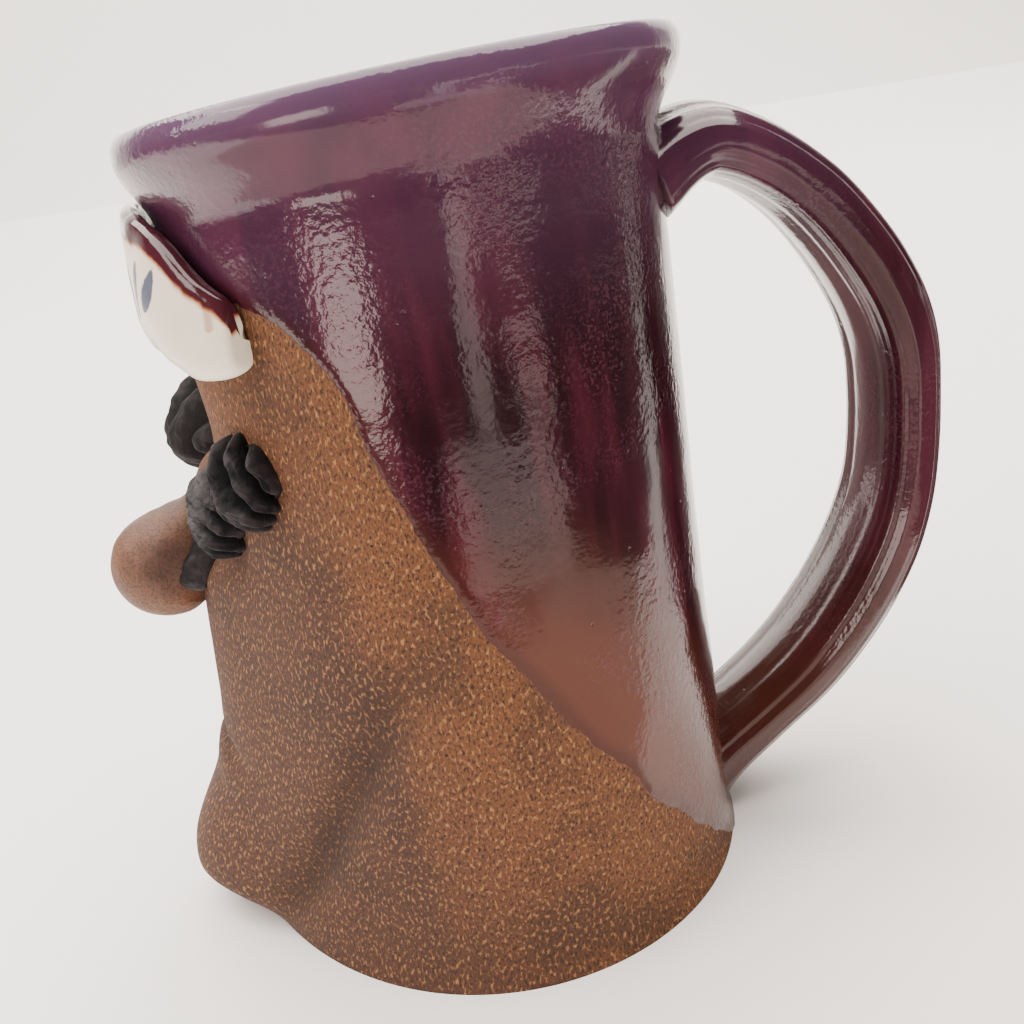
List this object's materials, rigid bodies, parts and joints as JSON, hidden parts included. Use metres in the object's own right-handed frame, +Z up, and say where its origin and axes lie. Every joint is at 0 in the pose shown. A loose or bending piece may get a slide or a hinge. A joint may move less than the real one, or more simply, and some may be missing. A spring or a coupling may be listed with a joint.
{
  "type": "face mug",
  "caption": "Hand-thrown stoneware drinking mug with a clay face in relief on one side and a pulled strap handle on the other.",
  "frame": {"origin": "centre of the foot, on the surface that the mug stands on", "axes": "+Z up, +X from the face side towards the handle, -Y the mug's left side"},
  "size_m": [0.1393, 0.0818, 0.13],
  "materials": {
    "mug_body": "bare speckled brown stoneware in front, gloss maroon glaze behind and round the lip, cream glaze inside",
    "handle": "gloss maroon glaze",
    "cap_visor": "satin cream slip with a maroon top edge and a blue brush motif",
    "nose": "bare fine brown stoneware, unglazed",
    "dark_folds": "unglazed black-stained clay, matte"
  },
  "bodies": {
    "root": {"mug_body": "mug_body", "handle": "handle", "cap_visor": "cap_visor", "nose": "nose", "left_brow": "dark_folds", "right_brow": "dark_folds", "left_moustache": "dark_folds", "right_moustache": "dark_folds"}
  },
  "joints": []
}
